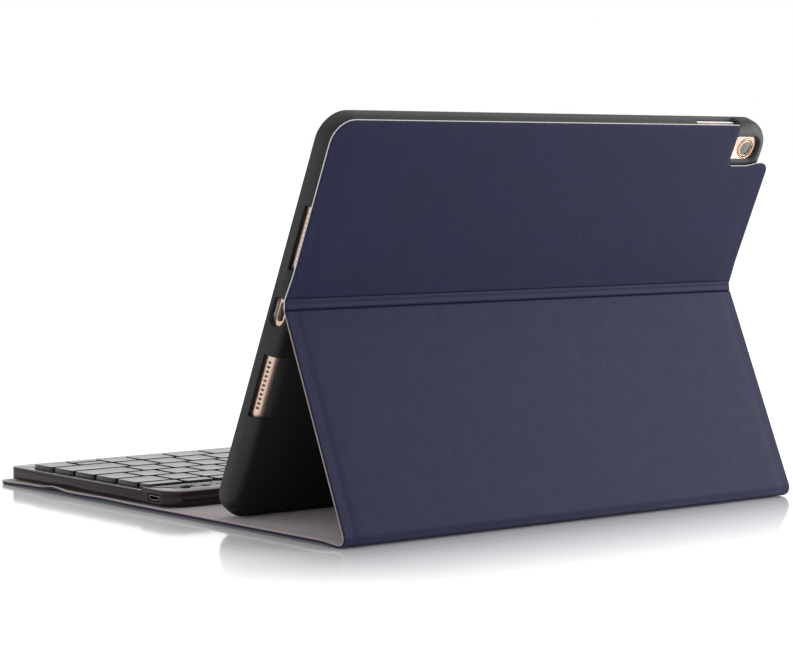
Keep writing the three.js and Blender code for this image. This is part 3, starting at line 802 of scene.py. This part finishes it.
# cutouts in the side walls: v from, v to, w from, w to
PORT_CUT = (87.5, 99.5, 2.4, 8.4)
HEADPHONE_CUT = (11, 19, 1.6, 8.6)
POWER_CUT = (149, 164, 2.6, 8.6, 2.4)  # the last is its corner radius
WALL_REACH = 6  # how far the cutters go in past the wall


def camera_ring(grow):
    x, v, corner = CAMERA_HOLE["x"], CAMERA_HOLE["v"], CAMERA_HOLE["corner"]
    across, up = CAMERA_HOLE["width"] / 2, CAMERA_HOLE["height"] / 2
    return outline(
        x - across - grow, v - up - grow, x + across + grow, v + up + grow, corner + grow
    )


cutters = [
    loft("pocket", [(pocket_ring(), pocket_back), (pocket_ring(), -1)], shell_place),
    loft(
        "camera_hole",
        [(camera_ring(0), pocket_back - 1), (camera_ring(0), SHELL["thick"] - 0.9),
         (camera_ring(1.0), SHELL["thick"] + 0.2)],
        on_shell,
    ),
    through_x("port", stadium(*PORT_CUT), side - WALL_REACH, side + 1, 0.8),
    through_x("headphone", stadium(*HEADPHONE_CUT), -side + WALL_REACH, -side - 1, 0.7),
    through_x("power", stadium(*POWER_CUT), -side + WALL_REACH, -side - 1, 0.7),
]
# each loudspeaker slot widens in a slanted scoop to the shell's back; points in x and w
SCOOP = [(side + 2, 4.9), (118, 4.9), (118, 7.85), (113.4, 9.7), (side + 2, 9.7)]
for v0, v1 in SPEAKERS:
    verts = [on_shell(x, v, w) for v in (v0, v1) for x, w in SCOOP]
    n = len(SCOOP)
    faces = [tuple(range(n)), tuple(range(2 * n - 1, n - 1, -1))]
    faces += [(i, i + n, (i + 1) % n + n, (i + 1) % n) for i in range(n)]
    cutters.append(new_object("scoop", verts, faces))
# the volume cutout in the top wall: x from, w from, x to, w to
VOLUME_CUT = (-104, 1.9, -78, 8.6)


def volume_ring(grow):
    x0, w0, x1, w1 = VOLUME_CUT
    return outline(x0 - grow, w0 - grow, x1 + grow, w1 + grow, 1.6, 5)


cutters.append(
    loft(
        "volume",
        [(volume_ring(grow), SHELL["height"] + rise)
         for grow, rise in ((0, -6), (0, -1.4), (0.9, 0.6))],
        top_place,
    )
)
carve(shell, cutters, bevel=0.22)
piece(shell, RUBBER, "shell", ("bumper_shell",))

# ------------------------------------------------------------------ tablet

back_w = TABLET["front"] + TABLET["thick"]
low = TABLET["low"]
top_v = low + TABLET["height"]
tablet_side = TABLET["width"] / 2
EDGE_TURNS = 8
LENS_AT = (-111.8, 165.4)
HOME_AT = (tablet_side - 10.5, low + TABLET["height"] / 2)
HOME_WELL = 5.45  # radius
POWER = (low + 149.3, low + 159.3)
# w extents of the wells round the buttons, and of the buttons' caps
WELL_W, CAP_W = (3.3, 5.9), (3.4, 5.8)
WELL_DEPTH, WELL_GAP, CAP_PROUD = 1.9, 0.15, 0.12
SPEAKER_HOLES, SPEAKER_PITCH, SPEAKER_START, SPEAKER_W = 11, 2.03, 3.7, 6.1
VOLUME_BUTTONS = ("tablet_volume_up", "tablet_volume_down")


def tablet_place(x, y, z):
    return on_shell(x, y + low + TABLET["height"] / 2, z)


def glass_place(x, y, z):
    """z is the height out of the tablet's front."""
    return on_shell(x, y + low + TABLET["height"] / 2, TABLET["front"] - z)


def tablet_ring(inset):
    return centred(TABLET["width"], TABLET["height"], TABLET["corner"], inset)


def disc(name, x, v, radius, w0, w1, edge=0.0, segments=40):
    loop = round_loop(x, v, radius, segments)
    return loft(name, rounded(loop, min(w0, w1), max(w0, w1), edge, edge, 3), on_shell)


body_rings = [
    (tablet_ring(inset), TABLET["front"] + w) for inset, w in ((0.5, 0.95), (0.15, 1.0), (0, 1.2))
]
for i in range(EDGE_TURNS + 1):
    t = i / EDGE_TURNS * math.pi / 2
    body_rings.append(
        (tablet_ring(TABLET["edge"] * (1 - math.cos(t))),
         back_w - TABLET["edge"] + TABLET["edge"] * math.sin(t))
    )
tablet = loft("tablet_housing", body_rings, tablet_place)

cutters = [
    through_x("port_recess", stadium(89.4, 97.6, 4.2, 6.5), tablet_side - 5, side),
    disc("lens_well", *LENS_AT, 4.65, back_w - 2.2, back_w + 1),
    disc("home_well", *HOME_AT, HOME_WELL, TABLET["front"] - 1, TABLET["front"] + 2.6),
]
speaker_rows = [
    v0 + SPEAKER_START + i * SPEAKER_PITCH for v0, _ in SPEAKERS for i in range(SPEAKER_HOLES)
]
holes = [
    through_x("hole", round_loop(v, SPEAKER_W, 0.62, 12, 0.55), tablet_side - 4, side)
    for v in speaker_rows
]
cutters.append(joined("speaker_holes", holes))
for name in VOLUME_BUTTONS:
    lo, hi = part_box(name)
    well = outline(lo.x / MM - WELL_GAP, WELL_W[0], hi.x / MM + WELL_GAP, WELL_W[1], 1.2, 5)
    cutters.append(loft("well", [(well, top_v - WELL_DEPTH), (well, top_v + 1)], top_place))
power_well = stadium(POWER[0] - WELL_GAP, POWER[1] + WELL_GAP, *WELL_W)
cutters.append(through_x("well", power_well, WELL_DEPTH - tablet_side, -side))
carve(tablet, cutters, bevel=0.12)
piece(tablet, GOLD, "tablet", ("tablet_body",))

glass_loop = centred(TABLET["width"] - 1, TABLET["height"] - 1, TABLET["corner"] - 0.5)
SCREEN_HALF = (98.5, 74)
screen_loop = outline(
    -SCREEN_HALF[0] - 1, -SCREEN_HALF[1], SCREEN_HALF[0] - 1, SCREEN_HALF[1], 0.4, 3
)
home_loop = round_loop(HOME_AT[0], 0, HOME_WELL)


def flat_slab(name, loop, z0, z1, place, holes=(), rim=0.15, grid=25, step=12):
    lo, hi = np.min(loop, axis=0), np.max(loop, axis=0)
    grid_x = list(np.arange(lo[0] + 3, hi[0] - 2, grid))
    grid_y = list(np.arange(lo[1] + 3, hi[1] - 2, grid))

    def level(z):
        return lambda x, y, edge: np.full(len(x), float(z))

    return slab(name, loop, level(z1), level(z0), place, grid_x, grid_y, holes, rim, step)


GLASS = 0.85  # thickness of the cover glass
bezel = flat_slab(
    "tablet_bezel", glass_loop, -GLASS, 0, glass_place, (home_loop, screen_loop), 0.18
)
screen = flat_slab(
    "tablet_screen", grown(screen_loop, -0.03), -GLASS, -0.02, glass_place, (), 0.04
)
piece(bezel, BEZEL, "tablet", ("tablet_glass",))
piece(screen, SCREEN, "tablet")
eye = disc(
    "tablet_front_camera", -tablet_side + 10.5, HOME_AT[1], 1.3,
    TABLET["front"] - 0.01, TABLET["front"] + 0.4, 0.02, 24,
)
piece(eye, SCREEN, "tablet")
home = disc(
    "tablet_home_pad", *HOME_AT, 4.9, TABLET["front"] + 0.12, TABLET["front"] + 2.0, 0.15
)
ring = disc(
    "tablet_home_ring", *HOME_AT, 5.25, TABLET["front"] + 0.16, TABLET["front"] + 0.9, 0.1
)
piece(home, BEZEL, "tablet_home_button", ("tablet_home_button",))
piece(ring, POLISHED, "tablet_home_button")

rim_ring = carve(
    disc("camera_rim", *LENS_AT, 4.5, back_w - 1.9, back_w + 0.35, 0.2, 48),
    [disc("hollow", *LENS_AT, 4.1, back_w - 1.2, back_w + 2, 0, 48)], bevel=0.1,
)
piece(rim_ring, POLISHED, "tablet", ("tablet_camera_ring",))
inner_ring = carve(
    disc("camera_inner_rim", *LENS_AT, 3.6, back_w - 1.1, back_w + 0.2, 0.1, 40),
    [disc("hollow", *LENS_AT, 3.25, back_w - 0.7, back_w + 2, 0, 40)], bevel=0.06,
)
piece(inner_ring, POLISHED, "tablet")
lens = disc("camera_glass", *LENS_AT, 3.2, back_w - 0.65, back_w - 0.1, 0.3, 40)
piece(lens, LENS, "tablet", ("tablet_camera_lens",))
groove = disc("camera_groove", *LENS_AT, 4.05, back_w - 1.15, back_w - 0.35, 0.05, 40)
groove = carve(groove, [disc("hollow", *LENS_AT, 3.65, back_w - 2, back_w + 1, 0, 40)])
piece(groove, DARK, "tablet")


# dark plugs set deep in the charging port and the loudspeaker holes: painted shade in these recesses
def dark_plug(name, loop, depth):
    return loft(name, [(loop, tablet_side - depth), (loop, tablet_side - 1.5)], side_place)


plug = dark_plug("painted_port_shade", stadium(89.6, 97.4, 4.4, 6.3), 4.9)
piece(plug, DARK, "tablet")
pins = [
    dark_plug("pin", stadium(v - 0.55, v + 0.55, SPEAKER_W - 0.48, SPEAKER_W + 0.48), 3.9)
    for v in speaker_rows
]
speaker_shade_plugs = joined("painted_speaker_shade", pins)
piece(speaker_shade_plugs, DARK, "tablet")

for name in VOLUME_BUTTONS:
    lo, hi = (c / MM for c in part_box(name))
    top = top_v + CAP_PROUD
    cap = rounded(outline(lo.x, CAP_W[0], hi.x, CAP_W[1], 1.1, 5), top - 1.7, top, 0, 0.25, 3)
    piece(loft(name + "_cap", cap, top_place), GOLD, name, (name,))
# its inner end clears the well's floor by more than the button's travel
power_cap = rounded(
    stadium(*POWER, *CAP_W), tablet_side - 1.3, tablet_side + CAP_PROUD, 0, 0.25, 3
)
power = loft("tablet_power_cap", power_cap, lambda v, w, x: on_shell(-x, v, w))
piece(power, GOLD, "tablet_power_button", ("tablet_power_button",))

# ---------------------------------------------------------------- keyboard

case_lo, case_hi = (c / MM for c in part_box("keyboard_bottom_case"))
deck_lo, deck_hi = (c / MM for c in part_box("keyboard_deck"))
bar_lo, bar_hi = (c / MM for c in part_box("keyboard_bar_cover"))
PITCH, GAP, FLANGE, CLEAR = 16.36, 1.9, 0.8, 0.35
ROW_UNITS = {
    "keys_bottom_letters": [1] * 10,
    "keys_home_letters": [1] * 11,
    "keys_top_letters": [1] * 13,
    "keys_numbers": [1.25] + [1] * 12,
    "keys_media": [1] * 12 + [1.25],
}


def caps_of(node):
    """(centre x, centre y, width, depth) of each key cap of a node."""
    lo, hi = (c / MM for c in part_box(node))
    y, depth = (lo.y + hi.y) / 2, hi.y - lo.y - 2 * FLANGE
    if node not in ROW_UNITS:
        return [((lo.x + hi.x) / 2, y, hi.x - lo.x - 2 * FLANGE, depth)]
    x, caps = lo.x + FLANGE - GAP / 2, []
    for units in ROW_UNITS[node]:
        caps.append((x + units * PITCH / 2, y, units * PITCH - GAP, depth))
        x += units * PITCH
    return caps


key_nodes = [n for n in frame["nodes"] if n.startswith("key_") or n.startswith("keys_")]
key_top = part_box("key_space")[1].z / MM
key_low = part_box("key_space")[0].z / MM


def cap_loop(cx, cy, w, d, grow=0.0, r=1.5):
    return outline(
        cx - w / 2 - grow, cy - d / 2 - grow, cx + w / 2 + grow, cy + d / 2 + grow, max(0.4, r + grow), 4
    )


CAP_DRAFT, CAP_ROUND, CAP_SHY = 0.12, 0.4, 0.02


def key_cap(name, cx, cy, w, d):
    def ring(grow, z):
        return cap_loop(cx, cy, w, d, grow), z

    shoulder = key_top - CAP_ROUND - CAP_SHY
    rings = [
        ring(FLANGE * 0.9, key_low + 0.05), ring(FLANGE * 0.9, key_low + 0.7),
        ring(0, key_low + 0.72), ring(-CAP_DRAFT, shoulder),
    ]
    for t in (i / 4 * math.pi / 2 for i in range(1, 5)):
        inset = CAP_DRAFT + CAP_ROUND * (1 - math.cos(t))
        rings.append(ring(-inset, shoulder + CAP_ROUND * math.sin(t)))
    # a shallow dish in the top
    for inset, dip in ((1.4, 0.03), (2.6, 0.09)):
        if d / 2 > inset + 1:
            rings.append(ring(-inset, key_top - CAP_SHY - dip))
    return loft(name, rings, upright)


windows = []
for node in key_nodes:
    caps = caps_of(node)
    windows += [cap_loop(*c, grow=CLEAR, r=1.3) for c in caps]
    made = [key_cap("cap", *c) for c in caps]
    keys = made[0] if len(made) == 1 else joined("cap", made)
    keys.name = node + "_caps"
    piece(keys, KEYS, node, (node,))

tray_loop = outline(case_lo.x, case_lo.y, case_hi.x, case_hi.y, (5, 5, 9, 9), 10)
tray = block("keyboard_tray", tray_loop, case_lo.z, case_hi.z + 0.05, low=0.7)
usb_lo, usb_hi = (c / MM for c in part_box("keyboard_usb_socket"))
usb_y, usb_z = (usb_lo.y + usb_hi.y) / 2, (usb_lo.z + usb_hi.z) / 2
side_x = case_hi.x


def usb_place(y, z, x):
    return upright(x, y, z)


usb_loop = outline(usb_y - 4.0, usb_lo.z - 0.2, usb_y + 4.0, usb_hi.z + 0.2, 0.9, 4)
usb_rings = [
    (usb_loop, side_x - 6.5), (usb_loop, side_x - 0.5), (grown(usb_loop, 0.6), side_x + 0.3)
]
carve(
    tray,
    [block("hollow", grown(tray_loop, -1.5), case_lo.z + 1.0, case_hi.z + 2),
     loft("usb", usb_rings, usb_place)],
    bevel=0.1,
)
piece(tray, GLOSS, "keyboard", ("keyboard_bottom_case",))
USB_SHAPE = [(-2.6, -1.0), (2.6, -1.0), (3.6, 0.0), (3.6, 1.0), (-3.6, 1.0), (-3.6, 0.0)]
usb_outer = [(usb_y + y, usb_z + z) for y, z in USB_SHAPE]
socket = loft("usb_socket_shell", [(usb_outer, side_x - 5.6), (usb_outer, side_x - 0.4)], usb_place)
usb_inner = grown(usb_outer, -0.28)
carve(socket, [loft("mouth", [(usb_inner, side_x - 4.8), (usb_inner, side_x + 1)], usb_place)])
piece(socket, DIM_STEEL, "keyboard", ("keyboard_usb_socket",))
deck_loop = outline(deck_lo.x, deck_lo.y, deck_hi.x, bar_lo.y - 0.1, (5, 5, 0.2, 0.2), 10)
deck = flat_slab(
    "keyboard_deck_plate", deck_loop, deck_lo.z, deck_hi.z, upright, windows,
    rim=0.18, grid=300, step=30,
)
piece(deck, DECK, "keyboard", ("keyboard_deck",))

bar_loop = outline(bar_lo.x, bar_lo.y, bar_hi.x, bar_hi.y, (0.9, 0.9, 9, 9), 10)
bar = block("keyboard_rear_bar", bar_loop, bar_lo.z, bar_hi.z, high=0.7)
switch_lo, switch_hi = (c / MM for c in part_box("keyboard_power_switch"))
pair_lo, pair_hi = (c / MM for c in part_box("keyboard_pairing_button"))
lens_lo, lens_hi = (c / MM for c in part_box("keyboard_indicator_lens"))
bar_y = (pair_lo.y + pair_hi.y) / 2
switch_x, pair_x = (switch_lo.x + switch_hi.x) / 2, (pair_lo.x + pair_hi.x) / 2
TRAVEL = joints["power_switch_slide"]["range_m"][1] / MM
lamps = (lens_hi.x - 2, (lens_lo.x + lens_hi.x) / 2, lens_lo.x + 2)
slot_loop = outline(switch_x - TRAVEL - 2.1, bar_y - 1.5, switch_x + 2.1, bar_y + 1.5, 0.5, 4)
BAR_WALL = 1.5
hollow_loop = outline(
    bar_lo.x + BAR_WALL, bar_lo.y + BAR_WALL, bar_hi.x - BAR_WALL, bar_hi.y - BAR_WALL,
    (1, 1, 7.5, 7.5), 8,
)
THROUGH = (6, 12)  # heights below and above the bar's top plate
carve(
    bar,
    [block("hollow", hollow_loop, bar_lo.z - 1, bar_hi.z - 1.0), block("slot", slot_loop, *THROUGH),
     block("well", round_loop(pair_x, bar_y, 2.1, 32), *THROUGH)]
    + [block("lamp", round_loop(x, bar_y, 0.7, 20), *THROUGH) for x in lamps],
    bevel=0.1,
)
piece(bar, GLOSS, "keyboard", ("keyboard_bar_cover",))


def switch_loop(x, half_x, half_y, corner, steps):
    return outline(x - half_x, bar_y - half_y, x + half_x, bar_y + half_y, corner, steps)


ribs = [
    block("rib", switch_loop(switch_x + d, 0.18, 1.0, 0.1, 2), 9.3, 9.6, high=0.1)
    for d in (-0.9, 0, 0.9)
]
switch = joined("power_switch_knob", [
    block("foot", switch_loop(switch_x, 3.4, 2.4, 0.4, 3), 7.2, 7.85),
    block("knob", switch_loop(switch_x, 1.8, 1.3, 0.4, 4), 7.6, 9.45, high=0.2),
] + ribs)
piece(switch, DECK, "power_switch", ("keyboard_power_switch",))
button = joined("pairing_button_cap", [
    block("foot", round_loop(pair_x, bar_y, 2.6, 32), 7.1, 7.8),
    block("cap", round_loop(pair_x, bar_y, 1.9, 32), 7.7, 9.25, high=0.35),
])
piece(button, DECK, "pairing_button", ("keyboard_pairing_button",))
lights = joined("indicator_lenses", [
    block("plate", outline(lens_lo.x, lens_lo.y, lens_hi.x, lens_hi.y, 0.4, 3), 7.1, 7.8)
] + [block("peg", round_loop(x, bar_y, 0.6, 20), 7.7, 9.0, high=0.15) for x in lamps])
piece(lights, LAMP, "keyboard", ("keyboard_indicator_lens",))

# ----------------------------------------------------- floor, light, camera

FLOOR_HALF, FLOOR_Z = 30, -0.0002
FLOOR_GLOSS, GLOSS_REACH = 0.76, 0.125  # share at the object, and metres to nothing
floor = new_object(
    "floor",
    [(x * FLOOR_HALF, y * FLOOR_HALF, FLOOR_Z) for x, y in ((-1, -1), (1, -1), (1, 1), (-1, 1))],
    [(0, 1, 2, 3)],
)
FLOOR = bpy.data.materials.new("studio_floor")
FLOOR.use_nodes = True
nodes, link = FLOOR.node_tree.nodes, FLOOR.node_tree.links.new
bsdf = nodes["Principled BSDF"]
bsdf.inputs["Base Color"].default_value = (0.92, 0.92, 0.925, 1)
bsdf.inputs["Roughness"].default_value = 0.6
bsdf.inputs["Specular IOR Level"].default_value = 0.0
bsdf.inputs["Emission Color"].default_value = (1, 1, 1, 1)
bsdf.inputs["Emission Strength"].default_value = 0.3
mirror = nodes.new("ShaderNodeBsdfGlossy")
mirror.inputs["Roughness"].default_value = 0.1
mirror.inputs["Color"].default_value = (1, 1, 1, 1)


def maths(operation, a, b=None):
    node = nodes.new("ShaderNodeMath")
    node.operation = operation
    for socket, value in zip(node.inputs, (a, b)):
        if isinstance(value, (int, float)):
            socket.default_value = value
        elif value is not None:
            link(value, socket)
    return node.outputs[0]


# the gloss dies away with the distance from the object's footprint
spot = nodes.new("ShaderNodeSeparateXYZ")
link(nodes.new("ShaderNodeNewGeometry").outputs["Position"], spot.inputs[0])
aside = [
    maths("MAXIMUM", maths("SUBTRACT", maths("ABSOLUTE", spot.outputs[i]), cad_box[1][i]), 0)
    for i in range(2)
]
away = maths("SQRT", maths("ADD", maths("POWER", aside[0], 2), maths("POWER", aside[1], 2)))
fade = maths("MAXIMUM", maths("SUBTRACT", 1, maths("DIVIDE", away, GLOSS_REACH)), 0)
blend = nodes.new("ShaderNodeMixShader")
link(maths("MULTIPLY", fade, FLOOR_GLOSS), blend.inputs["Fac"])
link(bsdf.outputs["BSDF"], blend.inputs[1])
link(mirror.outputs["BSDF"], blend.inputs[2])
link(blend.outputs["Shader"], nodes["Material Output"].inputs["Surface"])
floor.data.materials.append(FLOOR)

world = bpy.data.worlds.new("studio")
bpy.context.scene.world = world
world.use_nodes = True
world.node_tree.nodes["Background"].inputs["Color"].default_value = (1, 1, 1, 1)
world.node_tree.nodes["Background"].inputs["Strength"].default_value = 1.0
scene = bpy.context.scene
scene.view_settings.view_transform = "Standard"


def area_light(name, place, target, size, watts):
    data = bpy.data.lights.new(name, "AREA")
    data.shape, data.size, data.energy = "SQUARE", size, watts
    light = bpy.data.objects.new(name, data)
    scene.collection.objects.link(light)
    light.location = place
    light.rotation_euler = (Vector(target) - Vector(place)).to_track_quat("-Z", "Y").to_euler()


area_light("key_light", (-0.62, 0.52, 0.3), (-0.1, 0.08, 0.09), 0.7, 7)
area_light("top_light", (0.3, 0.2, 1.8), (0, 0, 0), 2.0, 3)

camera_data = bpy.data.cameras.new("camera")
camera = bpy.data.objects.new("camera", camera_data)
scene.collection.objects.link(camera)
scene.camera = camera
CAMERA_AT = (0.7519, 0.8931, 0.1536)
HEADING, DIP, ROLL = (math.radians(a) for a in (139.891, 3.811, 0.367))
flat_ahead = Vector((-math.sin(HEADING), math.cos(HEADING), 0))
ahead = flat_ahead * math.cos(DIP) - Vector((0, 0, math.sin(DIP)))
right = ahead.cross(Vector((0, 0, 1))).normalized()
above = right.cross(ahead)
right, above = (
    right * math.cos(ROLL) + above * math.sin(ROLL),
    above * math.cos(ROLL) - right * math.sin(ROLL),
)
camera.matrix_world = Matrix.Translation(CAMERA_AT) @ Matrix(
    (right, above, -ahead)
).transposed().to_4x4()
camera_data.lens, camera_data.sensor_width = 119.4, 36
camera_data.shift_x, camera_data.shift_y = 0.0065, -0.0046
camera_data.clip_start, camera_data.clip_end = 0.05, 100
